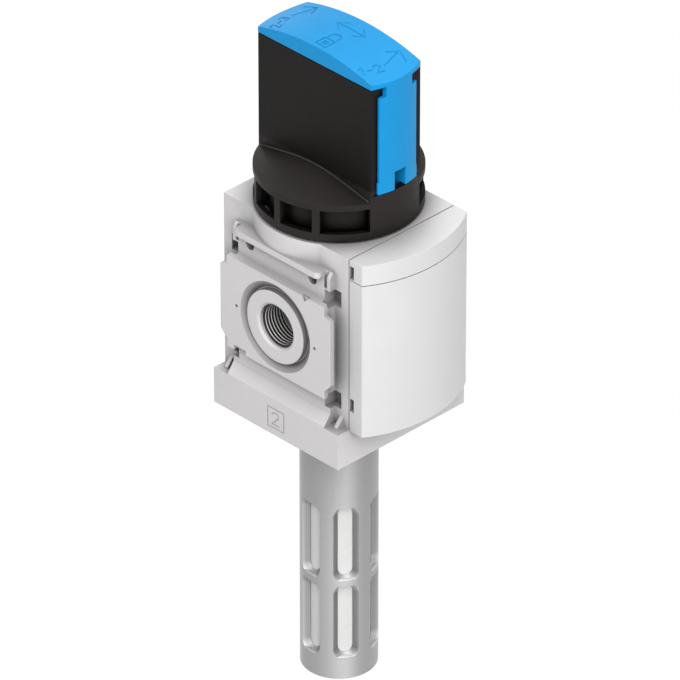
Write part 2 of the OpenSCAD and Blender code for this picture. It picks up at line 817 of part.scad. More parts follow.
// One leg of the slide: neck and web in the grip's slot, face plate outside it, hooks below
module slide_leg() {
  face_in = grip_y + slide_gap;
  foot_low = leg_foot;
  difference() {
    intersection() {
      disc(slide_r, [hook_low - 1, cap_z + 1]);
      union() {
        box([-neck_x, neck_x], [-slide_r, -prong_y], [foot_low, cap_z + 0.5]);
        box([-leg_x, leg_x], [-slide_r, -face_in], [foot_low, leg_top]);
        box([-leg_x - 0.4, leg_x + 0.4], [-slide_r, -face_in], [foot_low, foot_low + foot_h]);
      }
    }
    box([-foot_notch_x, foot_notch_x], [-slide_r - 1, -prong_y + 1],
        [foot_low - 1, leg_foot + foot_notch_h]);
  }
  both_sides() {
    box([prong_x, neck_x], [-prong_y - prong_t, -prong_y], [hook_low, foot_low + 0.5]);
    box([prong_x, neck_x], [-prong_y - 0.5, -hook_y], [hook_low, hook_low + hook_h]);
  }
  box([-neck_x + 1, neck_x - 1], [-prong_y - 0.5, lug_t - prong_y], [lug_top - lug_h, lug_top]);
}

module lock_slide() {
  color(slide_blue) place() {
    slide_cap();
    front_and_back() slide_leg();
  }
}

module piston(z) {
  difference() {
    disc(spool_r, [z - piston_h / 2, z + piston_h / 2]);
    groove(spool_r - 1.5, spool_r, z, seal_w + 0.2);
  }
}

module spool() {
  color(alu_silver) place() difference() {
    union() {
      disc(core_r, [spring_top, guide_seal_z]);
      for (z = [upper_seal_z, lower_seal_z, guide_seal_z]) piston(z);
      disc(stem_r, [guide_seal_z + 1, pin_z + 2.2]);
      disc(spring_r - wire_r - 0.4, [spring_top - 2.5, spring_top + 0.5]);
    }
    rod_x(pin_r + fit_gap, [-stem_r - 1, stem_r + 1], 0, pin_z);
  }
}

module cross_pin() {
  color(steel_grey) place() rod_x(pin_r, [-pin_reach, pin_reach], 0, pin_z);
}

module spool_seals() {
  color(rubber_black) place() for (z = [upper_seal_z, lower_seal_z, guide_seal_z])
    o_ring(spool_r - 1.5 + fit_gap, spool_r, z);
}

// Bored sleeve with sealing lands between its chambers and six windows at each channel
module valve_sleeve() {
  bore_r = spool_r + run_gap;
  supply_mid = (upper_land_top + guide_low) / 2;
  outlet_mid = (upper_land_low + lower_land_top) / 2;
  color(brass_gold) place() difference() {
    disc(sleeve_r, [sleeve_foot + fit_gap, sleeve_top]);
    disc(bore_r, [spring_low, sleeve_top + 1]);
    disc(chamber_r, [spring_low, lower_land_low]);
    disc(chamber_r, [lower_land_top, upper_land_low]);
    disc(chamber_r, [upper_land_top, guide_low]);
    disc(spring_r - wire_r - 0.6, [sleeve_foot - 1, spring_low + 1]);
    for (a = [30:60:330]) rotate(a) {
      rod_x(0.32 * supply_h, [chamber_r - 1, sleeve_r + 1], 0, supply_mid);
      rod_x(0.25 * outlet_h, [chamber_r - 1, sleeve_r + 1], 0, outlet_mid);
    }
    for (z = sleeve_seal_levels) groove(sleeve_r - 1.6, sleeve_r, z, 2);
  }
}

sleeve_seal_levels = [upper_land_top - land_h / 2, lower_land_top - land_h / 2, guide_seal_z - 1.5];

module sleeve_seals() {
  color(rubber_black) place() for (z = sleeve_seal_levels)
    o_ring(sleeve_r - 1.6 + fit_gap, sleeve_r, z);
}

// Height of the spring's wire after a number of turns, with a flat turn at each end
function wire_z(turn, low, high) =
  let (inner = spring_turns - 2, rise = (high - low - 4 * wire_r) / inner)
  low + (turn < 1 ? 2 * wire_r * turn
    : turn < 1 + inner ? 2 * wire_r + rise * (turn - 1)
    : high - low - 2 * wire_r * (spring_turns - turn));

module return_spring() {
  steps = 20;
  sides = 8;
  low = spring_low + wire_r + fit_gap;
  high = spring_top - wire_r - fit_gap;
  count = steps * spring_turns;
  points = [for (i = [0:count]) for (k = [0:sides - 1])
    let (a = 360 * i / steps, b = 360 * k / sides, r = spring_r + wire_r * cos(b))
    [r * cos(a), r * sin(a), wire_z(i / steps, low, high) + wire_r * sin(b)]];
  skin = [for (i = [0:count - 1]) for (k = [0:sides - 1])
    let (n = (k + 1) % sides, p = i * sides, q = p + sides)
    each [[p + k, p + n, q + n], [p + k, q + n, q + k]]];
  start_face = [for (k = [sides - 1:-1:0]) k];
  end_face = [for (k = [0:sides - 1]) count * sides + k];
  color(steel_grey) place() polyhedron(points, concat([start_face], skin, [end_face]));
}

module silencer_nipple() {
  color(brass_gold) place() difference() {
    disc(exhaust_r - fit_gap, [nipple_low, nipple_top]);
    disc(nipple_bore, [nipple_low - 1, nipple_top + 1]);
  }
}

module silencer_washer() {
  color(insert_white) place()
    tube(tube_r - 1, exhaust_r + fit_gap, [tube_top + fit_gap, underside - fit_gap]);
}

// Slot with sloping flanks and trimmed round ends, centred on X at a level
module flared_slot(z) {
  depth = tube_wall + 1;
  half = slot_l / 2 - slot_x + slot_trim;
  x = [tube_bore - 0.5, tube_r + 0.5];
  wide = [slot_x - (tube_r - x[0]), slot_x + 0.5];
  intersection() {
    box([x[0] - 1, x[1] + 1], [-tube_r, tube_r], [z - slot_l / 2, z + slot_l / 2]);
    union() {
      for (s = [-1, 1]) translate([x[0], 0, z + s * half]) rotate([0, 90, 0])
        cylinder(r1 = wide[0], r2 = wide[1], h = depth);
      translate([0, 0, z - half]) linear_extrude(height = 2 * half) polygon([
        [x[0], -wide[0]], [x[1], -wide[1]], [x[1], wide[1]], [x[0], wide[0]]]);
    }
  }
}

module silencer_tube() {
  lower_row = tube_low + slot_foot + slot_l / 2;
  color(alu_silver) place() difference() {
    disc(tube_r, [tube_low, tube_top]);
    disc(tube_bore, [tube_low - 1, nipple_low - 1]);
    disc(exhaust_r, [nipple_low - 2, tube_top + 1]);
    for (i = [0:slot_count - 1]) rotate(slot_angle + 360 * i / slot_count) {
      flared_slot(lower_row);
      flared_slot(lower_row + slot_l + slot_web);
    }
  }
}

module silencer_insert() {
  r = tube_bore - 0.15;
  z = [disc_z + disc_t + 0.1, nipple_low - 1.1];
  color(insert_white) place() difference() {
    disc(r, z);
    disc(r - insert_wall, [z[0] + insert_wall, z[1] + 1]);
  }
}

module silencer_end_disc() {
  color(alu_silver) place() difference() {
    disc(tube_bore - fit_gap, [disc_z, disc_z + disc_t]);
    disc(tube_bore - disc_t, [disc_z - 1, disc_z + 0.8]);
  }
}

housing();
front_cover();
upper_cover();
bonnet();
bonnet_screws();
bonnet_o_ring();
lock_ring();
ring_clip();
thrust_washer();
cam_spindle();
spindle_o_ring();
knob();
knob_screw();
lock_slide();
spool();
cross_pin();
spool_seals();
valve_sleeve();
sleeve_seals();
return_spring();
silencer_nipple();
silencer_washer();
silencer_tube();
silencer_insert();
silencer_end_disc();
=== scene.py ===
import math

import bmesh
import bpy
from mathutils import Matrix, Vector


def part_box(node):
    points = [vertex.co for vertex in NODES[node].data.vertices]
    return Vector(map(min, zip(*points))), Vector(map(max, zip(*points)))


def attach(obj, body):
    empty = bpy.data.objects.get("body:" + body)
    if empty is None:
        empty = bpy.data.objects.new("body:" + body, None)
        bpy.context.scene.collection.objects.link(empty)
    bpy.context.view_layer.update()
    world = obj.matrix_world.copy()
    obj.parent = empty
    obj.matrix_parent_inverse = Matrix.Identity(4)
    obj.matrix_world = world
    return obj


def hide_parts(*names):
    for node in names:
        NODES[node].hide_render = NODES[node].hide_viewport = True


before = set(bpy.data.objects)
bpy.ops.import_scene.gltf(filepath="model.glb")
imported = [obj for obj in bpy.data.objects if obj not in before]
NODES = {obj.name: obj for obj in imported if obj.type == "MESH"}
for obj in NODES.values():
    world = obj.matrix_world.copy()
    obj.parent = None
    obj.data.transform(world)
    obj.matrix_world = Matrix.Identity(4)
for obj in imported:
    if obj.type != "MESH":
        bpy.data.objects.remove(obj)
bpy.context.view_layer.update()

MM = 0.001

# Sizes of the solids in millimetres, with x and y about the spindle axis
AXIS_X = 31.0          # the axis, from the outlet face
MODULE = 31.0          # half the width and the depth of the base
UNDERSIDE = -45.0
BODY_HALF = 25.5       # half the body's width
BODY_TOP = 38.9
PLATE_TOP = 19.0
PLATE_T = 1.8
BOSS_R = 14.0
SEAL_GROOVE_W = 3.3
RIM = 54.2             # top edge of the knob's skirt
DECK_RISE = 4.2
DECK_TOP = RIM + DECK_RISE + 0.2
DECK_REACH = 26.8      # end of the line where deck and grip meet
SKIRT_R = 29.9
GRIP_X = 11.9
TUBE_R = 14.0
TUBE_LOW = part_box("silencer_tube")[0][2]
CAP_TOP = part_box("lock_slide")[1][2] / MM
CROWN_R = 96.8

# G3/8 pipe thread in the ports
THREAD_PITCH = 1.337
THREAD_MAJOR_R = 8.36
THREAD_MINOR_R = 7.5
THREAD_START = 1.35    # depth of its first turn in the port
THREAD_STOP = 11.2
THREAD_STEPS = 72      # per turn

# Engraving
CUT_ABOVE = 1.0        # how far a cutter stands over the surface
SIGN_W = 0.6
SIGN_DEPTH = 0.28
SIGN_ABOVE = 0.8
NUMBER_W = 0.45
NUMBER_DEPTH = 0.15
SEAM_W = 0.36
SEAM_DEPTH = 0.35
SEAM_Y = 0.17 - MODULE
SEAM_LOW = UNDERSIDE + 14.6


def spot(x, y, z):
    """A point given in millimetres about the spindle axis, in the row frame."""
    return Vector(((x + AXIS_X) * MM, y * MM, z * MM))


def linear(*rgb):
    """A screen colour of 0 to 255 as the linear colour a shader takes."""
    return tuple((v / 255 / 12.92 if v <= 10 else ((v / 255 + 0.055) / 1.055) ** 2.4)
                 for v in rgb) + (1.0,)


# Materials

class Finish:
    """A procedural material built round one Principled shader, in object coordinates."""

    def __init__(self, name, colour, roughness, metallic=0.0, specular=0.5, anisotropic=0.0):
        self.material = bpy.data.materials.new(name)
        self.material.use_nodes = True
        self.material.diffuse_color = colour
        self.nodes = self.material.node_tree.nodes
        self.links = self.material.node_tree.links
        self.shader = self.nodes["Principled BSDF"]
        self.colour = colour
        self.roughness = roughness
        self.normal = None
        self.put("Base Color", colour)
        self.put("Roughness", roughness)
        self.put("Metallic", metallic)
        self.put("Specular IOR Level", specular)
        self.put("Anisotropic", anisotropic)
        self.place = self.nodes.new("ShaderNodeTexCoord").outputs["Object"]

    def put(self, socket, value):
        self.shader.inputs[socket].default_value = value

    def mapped(self, scale, shift=(0, 0, 0)):
        """The object coordinates, scaled and then shifted."""
        node = self.nodes.new("ShaderNodeMapping")
        node.inputs["Scale"].default_value = scale
        node.inputs["Location"].default_value = shift
        self.links.new(self.place, node.inputs["Vector"])
        return node.outputs["Vector"]

    def noise(self, scale, detail, stretch=None):
        node = self.nodes.new("ShaderNodeTexNoise")
        node.inputs["Scale"].default_value = scale
        node.inputs["Detail"].default_value = detail
        node.inputs["Roughness"].default_value = 0.55
        place = self.mapped(stretch) if stretch else self.place
        self.links.new(place, node.inputs["Vector"])
        return node.outputs["Fac"]

    def cells(self, scale):
        node = self.nodes.new("ShaderNodeTexVoronoi")
        node.inputs["Scale"].default_value = scale
        self.links.new(self.place, node.inputs["Vector"])
        return node.outputs["Distance"]

    def height(self, vector):
        """The upright part of a vector."""
        node = self.nodes.new("ShaderNodeSeparateXYZ")
        self.links.new(vector, node.inputs["Vector"])
        return node.outputs["Z"]

    def ranged(self, value, low, high, start=0.3, stop=0.7):
        """Goes from low to high while the value goes from start to stop."""
        node = self.nodes.new("ShaderNodeMapRange")
        for name, number in (("From Min", start), ("From Max", stop),
                             ("To Min", low), ("To Max", high)):
            node.inputs[name].default_value = number
        self.links.new(value, node.inputs["Value"])
        return node.outputs["Result"]

    def ramp(self, value, stops):
        """A colour looked up by value between stops, each a position and its colour."""
        node = self.nodes.new("ShaderNodeValToRGB")
        elements = node.color_ramp.elements
        while len(elements) < len(stops):
            elements.new(1.0)
        for element, (position, colour) in zip(elements, stops):
            element.position = position
            element.color = (*colour, 1.0)
        self.links.new(value, node.inputs["Fac"])
        return node.outputs["Color"]

    def mottle(self, value, amount):
        """Varies the base colour by a share of its brightness."""
        dark = [c * (1 - amount) for c in self.colour[:3]]
        light = [min(1.0, c * (1 + amount)) for c in self.colour[:3]]
        self.links.new(self.ramp(value, ((0.3, dark), (0.7, light))),
                       self.shader.inputs["Base Color"])

    def multiply(self, shade):
        """Multiplies the base colour by a shade."""
        mix = self.nodes.new("ShaderNodeMix")
        mix.data_type = "RGBA"
        mix.blend_type = "MULTIPLY"
        mix.inputs["Factor"].default_value = 1.0
        base = self.shader.inputs["Base Color"]
        colour_a, colour_b, result = mix.inputs[6], mix.inputs[7], mix.outputs[2]
        self.links.new(base.links[0].from_socket, colour_a)
        self.links.new(shade, colour_b)
        self.links.new(result, base)

    def painted_occlusion_shade(self, reach_mm, shades):
        """Paints shade into the base colour where walls within reach shut the surface in: painted
        ambient occlusion.
        """
        shut = self.nodes.new("ShaderNodeAmbientOcclusion")
        shut.samples = 6
        shut.inputs["Distance"].default_value = reach_mm * MM
        self.multiply(self.ramp(shut.outputs["AO"], [(openness, [shade] * 3)
                                                     for openness, shade in shades]))

    def vary_roughness(self, value, spread):
        result = self.ranged(value, self.roughness - spread, self.roughness + spread)
        self.links.new(result, self.shader.inputs["Roughness"])

    def shape(self, node):
        """Passes a node's normal on to the shader."""
        self.normal = node.outputs["Normal"]
        self.links.new(self.normal, self.shader.inputs["Normal"])

    def bump(self, value, depth_mm, strength):
        node = self.nodes.new("ShaderNodeBump")
        node.inputs["Strength"].default_value = strength
        node.inputs["Distance"].default_value = depth_mm * MM
        self.links.new(value, node.inputs["Height"])
        if self.normal is not None:
            self.links.new(self.normal, node.inputs["Normal"])
        self.shape(node)

    def soft_edges(self, radius_mm):
        node = self.nodes.new("ShaderNodeBevel")
        node.samples = 6
        node.inputs["Radius"].default_value = radius_mm * MM
        self.shape(node)


def painted(name, colour):
    """Die casting or moulding under a satin paint, with its fine orange peel and painted shade in
    its recesses.
    """
    f = Finish(name, colour, 0.46, specular=0.4)
    f.soft_edges(0.35)
    f.mottle(f.noise(45, 4), 0.018)
    # painted shade: the base colour darkens where nearby walls shut the surface in
    f.painted_occlusion_shade(15, ((0, 0.04), (0.12, 0.32), (0.6, 0.52), (0.96, 1)))
    f.vary_roughness(f.noise(220, 3), 0.05)
    f.bump(f.noise(900, 3), 0.02, 0.35)
    f.bump(f.noise(2600, 2), 0.008, 0.3)
    return f.material


def moulded_finish(name, colour, roughness, grain=0.012, mottle=0.05, specular=0.3):
    """Glass-filled plastic with a fine spark-eroded grain."""
    f = Finish(name, colour, roughness, specular=specular)
    f.soft_edges(0.3)
    f.mottle(f.noise(120, 4), mottle)
    f.vary_roughness(f.noise(700, 3), 0.06)
    f.bump(f.noise(3200, 3), grain, 0.5)
    return f


def moulded(*look, **more):
    return moulded_finish(*look, **more).material


def knob_moulding():
    """Black moulding, smooth and dark on the grip, with painted light below it and painted shade
    in its hollows.
    """
    f = moulded_finish("black_knob", linear(20, 18, 17), 0.46, specular=0.1)
    # painted light: 2.7 times paler below the deck top, for light the pale body below throws onto
    # skirt and deck
    f.multiply(f.ranged(f.height(f.place), 2.7, 1.0, (DECK_TOP - 0.5) * MM, (DECK_TOP + 0.5) * MM))
    # painted shade where the knob's walls shut the surface in
    f.painted_occlusion_shade(12, ((0.46, 0.02), (0.66, 0.8), (0.84, 1)))
    return f.material


def turned_finish(name, colour, roughness, lines=1.0, anisotropic=0.35):
    """Metal turned on a lathe about an upright axis, with faint rings and a rubbed sheen."""
    f = Finish(name, colour, roughness, metallic=1.0, anisotropic=anisotropic)
    f.soft_edges(0.15)
    f.put("Anisotropic Rotation", 0.25)
    tangent = f.nodes.new("ShaderNodeTangent")
    tangent.direction_type = "RADIAL"
    tangent.axis = "Z"
    f.links.new(tangent.outputs["Tangent"], f.shader.inputs["Tangent"])
    f.mottle(f.noise(60, 4, (1, 1, 6)), 0.03 * lines)
    f.vary_roughness(f.noise(300, 4, (0.15, 0.15, 8)), 0.05 * lines)
    f.bump(f.noise(420, 3, (0.03, 0.03, 9)), 0.006 * lines, 0.5)
    return f


def turned(*look):
    return turned_finish(*look).material


def slotted_tube():
    """Satin aluminium of the silencer, with painted shade on the walls of its milled slots and a
    painted highlight on faces that look upwards, such as the slots' lower ends."""
    f = turned_finish("satin_aluminium", linear(175, 174, 175), 0.68, 0.3, 0.7)
    radius = f.nodes.new("ShaderNodeVectorMath")
    radius.operation = "LENGTH"
    f.links.new(f.mapped((1, 1, 0), (-AXIS_X * MM, 0, 0)), radius.inputs[0])
    # painted shade: the slot walls, inside the tube's outer radius, darken down to 0.72
    f.multiply(f.ranged(radius.outputs["Value"], 0.72, 1.0,
                        (TUBE_R - 1.3) * MM, (TUBE_R - 0.1) * MM))
    normal = f.nodes.new("ShaderNodeNewGeometry").outputs["Normal"]
    # painted highlight: faces that look upwards are up to 1.7 times paler
    f.multiply(f.ranged(f.height(normal), 1.0, 1.7, 0.2, 0.6))
    return f.material


def threaded(name, colour):
    """Cut metal of the port threads, with faint tool marks."""
    f = Finish(name, colour, 0.4, specular=0.3)
    f.mottle(f.noise(400, 3), 0.06)
    f.vary_roughness(f.noise(900, 3), 0.05)
    return f.material


def sintered():
    """Sintered granules of the silencer's insert."""
    f = Finish("sintered_plastic", linear(211, 211, 210), 0.85, specular=0.25)
    f.mottle(f.noise(900, 3), 0.025)
    f.bump(f.cells(1900), 0.08, 0.5)
    f.bump(f.noise(4000, 2), 0.02, 0.3)
    return f.material


def rubber():
    """Nitrile rubber of the seals."""
    f = Finish("seal_rubber", linear(30, 30, 31), 0.6, specular=0.35)
    f.mottle(f.noise(500, 3), 0.1)
    f.bump(f.noise(2500, 3), 0.01, 0.6)
    return f.material


PAINT = painted("painted_casting", linear(201, 199, 199))
COVER = painted("painted_cover", linear(203, 202, 202))
# painted shade: a darker grey for the shaded seal grooves round the ports
SEAL_GROOVE_SHADE = painted("groove_shade_paint", linear(158, 156, 157))
MACHINED = turned("machined_aluminium", linear(196, 195, 193), 0.36)
KNOB = knob_moulding()
BLACK = moulded("black_plastic", linear(26, 24, 23), 0.46, specular=0.1)
GLOSS = moulded("polished_black", linear(34, 32, 31), 0.38, 0.004, 0.03, specular=0.36)
BLUE = moulded("blue_plastic", linear(16, 137, 197), 0.4, 0.006, 0.02, specular=0.16)
WHITE = moulded("white_plastic", linear(232, 232, 228), 0.5, 0.006, 0.02)
STEEL = turned("bright_steel", linear(190, 192, 194), 0.3)
ALUMINIUM = slotted_tube()
BRASS = turned("brass", linear(212, 178, 104), 0.3)
CREST = threaded("thread_crest", linear(205, 204, 203))
# painted shade: near-black flanks stand for the deep shade between the thread's crests
FLANK_SHADE = threaded("thread_flank_shade", linear(26, 25, 25))
RUBBER = rubber()
SINTER = sintered()

NODE_FINISH = {
    "housing": PAINT, "front_cover": COVER, "upper_cover": COVER,
    "bonnet": BLACK, "bonnet_screws": STEEL, "bonnet_o_ring": RUBBER,
    "lock_ring": STEEL, "ring_clip": STEEL, "thrust_washer": WHITE,
    "cam_spindle": STEEL, "spindle_o_ring": RUBBER,
    "knob": KNOB, "knob_screw": STEEL, "lock_slide": BLUE,
    "spool": MACHINED, "cross_pin": STEEL, "spool_seals": RUBBER,
    "valve_sleeve": BRASS, "sleeve_seals": RUBBER, "return_spring": STEEL,
    "silencer_nipple": BRASS, "silencer_washer": WHITE,
    "silencer_tube": ALUMINIUM, "silencer_insert": SINTER, "silencer_end_disc": ALUMINIUM,
}
for name, material in NODE_FINISH.items():
    for place in NODES[name].material_slots:
        place.material = material


# Mesh helpers

def new_object(name, mesh, material=None):
    obj = bpy.data.objects.new(name, mesh)
    bpy.context.scene.collection.objects.link(obj)
    if material:
        mesh.materials.clear()
        mesh.materials.append(material)
    return obj


def walls(bm, rings):
    """Faces from ring to ring of vertices, and over both ends. Gives each wall and its side."""
    made = []
    sides = len(rings[0])
    for a, b in zip(rings, rings[1:]):
        for k in range(sides):
            n = (k + 1) % sides
            made.append((bm.faces.new((a[k], a[n], b[n], b[k])), k))
    bm.faces.new(reversed(rings[0]))
    bm.faces.new(rings[-1])
    return made


def closed_mesh(name, bm):
    """The finished mesh, with its faces turned outwards."""
    bmesh.ops.recalc_face_normals(bm, faces=bm.faces)
    mesh = bpy.data.meshes.new(name)
    bm.to_mesh(mesh)
    bm.free()
    return mesh


def applied(obj):
    """Puts the object's modifiers into its mesh."""
    depsgraph = bpy.context.evaluated_depsgraph_get()
    mesh = bpy.data.meshes.new_from_object(obj.evaluated_get(depsgraph))
    obj.modifiers.clear()
    obj.data = mesh


def clean_copy(node):
    """A node's surface as one closed mesh with its flat faces whole."""
    mesh = NODES[node].data.copy()
    if "custom_normal" in mesh.attributes:
        mesh.attributes.remove(mesh.attributes["custom_normal"])
    bm = bmesh.new()
    bm.from_mesh(mesh)
    bmesh.ops.remove_doubles(bm, verts=bm.verts, dist=2e-6)
    bmesh.ops.dissolve_limit(bm, angle_limit=math.radians(0.4), verts=bm.verts, edges=bm.edges)
    bmesh.ops.recalc_face_normals(bm, faces=bm.faces)
    bm.to_mesh(mesh)
    bm.free()
    return mesh


def skin(node, body, cutter=None, edge_mm=0.3, angle=32):
    """A finely edged copy of a node, engraved by a cutter, that stands for the node."""
    obj = new_object(node + "_skin", clean_copy(node), NODE_FINISH[node])
    if cutter is not None:
        boolean = obj.modifiers.new("engraving", "BOOLEAN")
        boolean.operation = "DIFFERENCE"
        boolean.solver = "EXACT"
        boolean.use_self = True
        boolean.object = cutter
        applied(obj)
        bpy.data.objects.remove(cutter)
    bevel = obj.modifiers.new("edges", "BEVEL")
    bevel.width = edge_mm * MM
    bevel.segments = 2
    bevel.limit_method = "ANGLE"
    bevel.angle_limit = math.radians(angle)
    bevel.use_clamp_overlap = True
    bevel.miter_outer = "MITER_ARC"
    bevel.harden_normals = True
    for polygon in obj.data.polygons:
        polygon.use_smooth = True
    applied(obj)
    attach(obj, body)
    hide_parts(node)
    return obj


# Engraving: plain port numbers, turning arrows, lifting arrow, padlock sign and mould seams

def stroke_cutter(strokes, width_mm, place, step_mm=1.0):
    """Closed ribbons along lines drawn in millimetres. place(u, v, up) gives the point on the
    cutter's top or floor."""
    bm = bmesh.new()
    half = width_mm / 2
    for line in strokes:
        for (u0, v0), (u1, v1) in zip(line, line[1:]):
            length = math.hypot(u1 - u0, v1 - v0)
            du, dv = (u1 - u0) / length, (v1 - v0) / length
            count = max(1, round(length / step_mm))
            rings = []
            for i in range(count + 1):
                along = -half + (length + width_mm) * i / count
                u, v = u0 + du * along, v0 + dv * along
                rings.append([bm.verts.new(place(u + dv * s * half, v - du * s * half, up))
                              for s, up in ((-1, False), (1, False), (1, True), (-1, True))])
            walls(bm, rings)
    return new_object("cutter", closed_mesh("cutter", bm))


def joined(cutters):
    """One cutter made of several."""
    merged = bmesh.new()
    for cutter in cutters:
        merged.from_mesh(cutter.data)
    merged.to_mesh(cutters[0].data)
    merged.free()
    for cutter in cutters[1:]:
        bpy.data.objects.remove(cutter)
    return cutters[0]


GLYPHS = {
    "1": [(0.2, 0.72), (0.5, 1.0), (0.5, 0.0)],
    "2": [(0.1, 0.78), (0.25, 0.96), (0.5, 1.0), (0.72, 0.86), (0.72, 0.64), (0.1, 0.0),
          (0.78, 0.0)],
    "3": [(0.1, 0.9), (0.4, 1.0), (0.7, 0.86), (0.66, 0.6), (0.35, 0.52), (0.7, 0.4),
          (0.7, 0.14), (0.4, 0.0), (0.08, 0.1)],
    "-": [(0.2, 0.5), (0.7, 0.5)],
}


def glyph(char, centre, height, turn=0.0):
    """The line of a plain figure about its centre, turned by some degrees."""
    a = math.radians(turn)
    points = []
    for x, y in GLYPHS[char]:
        gx, gy = (x - 0.45) * height, (y - 0.5) * height
        points.append((centre[0] + gx * math.cos(a) - gy * math.sin(a),
                       centre[1] + gx * math.sin(a) + gy * math.cos(a)))
    return points


def level(up, depth, above=CUT_ABOVE):
    """Height of a cutter's top or floor over the surface."""
    return above if up else -depth


def on_cap(x, y, up):
    crown = CAP_TOP - CROWN_R + math.sqrt(CROWN_R ** 2 - y ** 2)
    return spot(x, y, crown + level(up, SIGN_DEPTH, SIGN_ABOVE))


def on_base(side):
    return lambda u, z, up: spot(side * (MODULE + level(up, NUMBER_DEPTH)), side * u, z)


def on_wall(side):
    return lambda y, z, up: spot(side * (BODY_HALF + level(up, SEAM_DEPTH)), y, z)


def on_deck(x, y, up):
    return spot(x, y, BODY_TOP + level(up, SEAM_DEPTH))


def cap_signs():
    """Arrow and figures for each end of the turn, and an arrow and padlock for the lift."""
    strokes = [
        [(-0.5, -22.9), (8.6, -20.4)], [(4.8, -18.1), (8.9, -20.3), (7.4, -25.0)],
        [(0.4, 23.3), (8.9, 20.1)], [(8.0, 25.4), (9.4, 19.9), (4.7, 18.1)],
        [(4.9, 5.2), (4.9, -7.2)], [(2.1, 2.4), (4.9, 5.6), (7.7, 2.4)],
        [(2.1, -4.4), (4.9, -7.6), (7.7, -4.4)],
        [(-10.0, -3.4), (-10.0, 1.3), (-5.1, 1.3), (-5.1, -3.4), (-10.0, -3.4)],
        [(-8.4, -1.8), (-8.4, -0.3), (-6.8, -0.3), (-6.8, -1.8), (-8.4, -1.8)],
        [(-5.1, 0.8), (-2.3, 0.9), (-1.2, 0.2), (-0.9, -1.1), (-1.2, -2.4), (-2.3, -3.1),
         (-3.4, -3.0)],
    ]
    for char, x, y, turn in (
            ("1", -9.6, -21.0, -24), ("-", -6.8, -22.0, -17), ("2", -3.6, -22.8, -9),
            ("2", -9.4, 21.6, 23), ("-", -6.2, 22.9, 15), ("3", -2.8, 23.8, 7)):
        strokes.append(glyph(char, (x, y), 3.6, turn))
    return stroke_cutter(strokes, SIGN_W, on_cap)


def number_frame(char, side):
    """A port's number in a square, on a side of the base."""
    low, high = UNDERSIDE + 2.8, UNDERSIDE + 10.8
    square = [(-4, low), (-4, high), (4, high), (4, low), (-4, low)]
    figure = glyph(char, (0, (low + high) / 2), 5.0)
    return stroke_cutter([square, figure], NUMBER_W, on_base(side), 4.0)


def seam(start, stop, place):
    """A straight seam, cut in one step."""
    return stroke_cutter([[start, stop]], SEAM_W, place, 80)


def housing_cutter():
    wall_seam = (SEAM_Y, SEAM_LOW), (SEAM_Y, BODY_TOP + 0.5)
    return joined([number_frame("2", -1), number_frame("1", 1),
                   seam(*wall_seam, on_wall(-1)), seam(*wall_seam, on_wall(1)),
                   seam((-BODY_HALF, SEAM_Y), (BODY_HALF, SEAM_Y), on_deck)])


# Pieces

def paint_groove_shade(obj):
    """Gives the seal grooves round the ports a darker grey: painted shade in the grooves."""
    obj.data.materials.append(SEAL_GROOVE_SHADE)
    for polygon in obj.data.polygons:
        x, y, z = polygon.center / MM
        radius = math.hypot(y, z)
        depth = MODULE - abs(x - AXIS_X)
        if BOSS_R - 0.2 < radius < BOSS_R + SEAL_GROOVE_W and 0.15 < depth < 3:
            polygon.material_index = 1


def nick_floor(name, side):
    """Sloping facet inside the nick at the top edge of a port plate."""
    bm = bmesh.new()
    corners = ((-13.2, PLATE_TOP, 1.1), (-14.3, PLATE_TOP - 2.2, 0.5), (-16.9, PLATE_TOP, 0.15))
    walls(bm, [[bm.verts.new(spot(side * (MODULE - depth), y, z)) for y, z, depth in corners],
               [bm.verts.new(spot(side * (MODULE - PLATE_T), y, z)) for y, z, _ in corners]])
    obj = new_object(name, closed_mesh(name, bm), PAINT)
    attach(obj, "body")


def deck_fillet(name, side):
    """Polished fillet where the knob's sloping deck meets its grip."""
    bm = bmesh.new()
    rings = []
    for i in range(65):
        y = DECK_REACH * (i / 32 - 1)
        near, far = (RIM + DECK_RISE * (SKIRT_R - math.hypot(x, y)) / (SKIRT_R - GRIP_X)
                     for x in (GRIP_X, GRIP_X + 0.5))
        section = ((0, near + 0.5), (0.08, near + 0.25), (0.25, near + 0.07), (0.5, far),
                   (-0.1, near - 0.2))
        rings.append([bm.verts.new(spot(side * (GRIP_X + out), y, z)) for out, z in section])
    for face, k in walls(bm, rings):
        face.smooth = k < 3
    obj = new_object(name, closed_mesh(name, bm), GLOSS)
    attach(obj, "rotary_knob")


def port_thread(name, side):
    """Helical ridge of the pipe thread, from just inside the port's mouth to its run-out."""
    length = THREAD_STOP - THREAD_START
    count = round(length / THREAD_PITCH * THREAD_STEPS)
    bm = bmesh.new()
    rings = []
    for i in range(count + 1):
        a = 2 * math.pi * i / THREAD_STEPS
        depth = THREAD_START + length * i / count
        fade = min(1.0, i / (0.25 * THREAD_STEPS), (count - i) / (0.6 * THREAD_STEPS))
        crest_r = THREAD_MAJOR_R - (THREAD_MAJOR_R - THREAD_MINOR_R) * fade
        ring = []
        for r, share in ((THREAD_MAJOR_R, -0.47), (crest_r, -0.14),
                         (crest_r, 0.14), (THREAD_MAJOR_R, 0.47)):
            x = side * (MODULE - depth - share * THREAD_PITCH * max(fade, 0.02))
            ring.append(bm.verts.new(spot(x, r * math.cos(a), r * math.sin(a))))
        rings.append(ring)
    # face 1 of each ring is the crest; the other faces are flanks in the painted shade
    for face, k in walls(bm, rings):
        face.material_index = int(k == 1)
    mesh = closed_mesh(name, bm)
    for material in (FLANK_SHADE, CREST):
        mesh.materials.append(material)
    obj = new_object(name, mesh)
    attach(obj, "body")


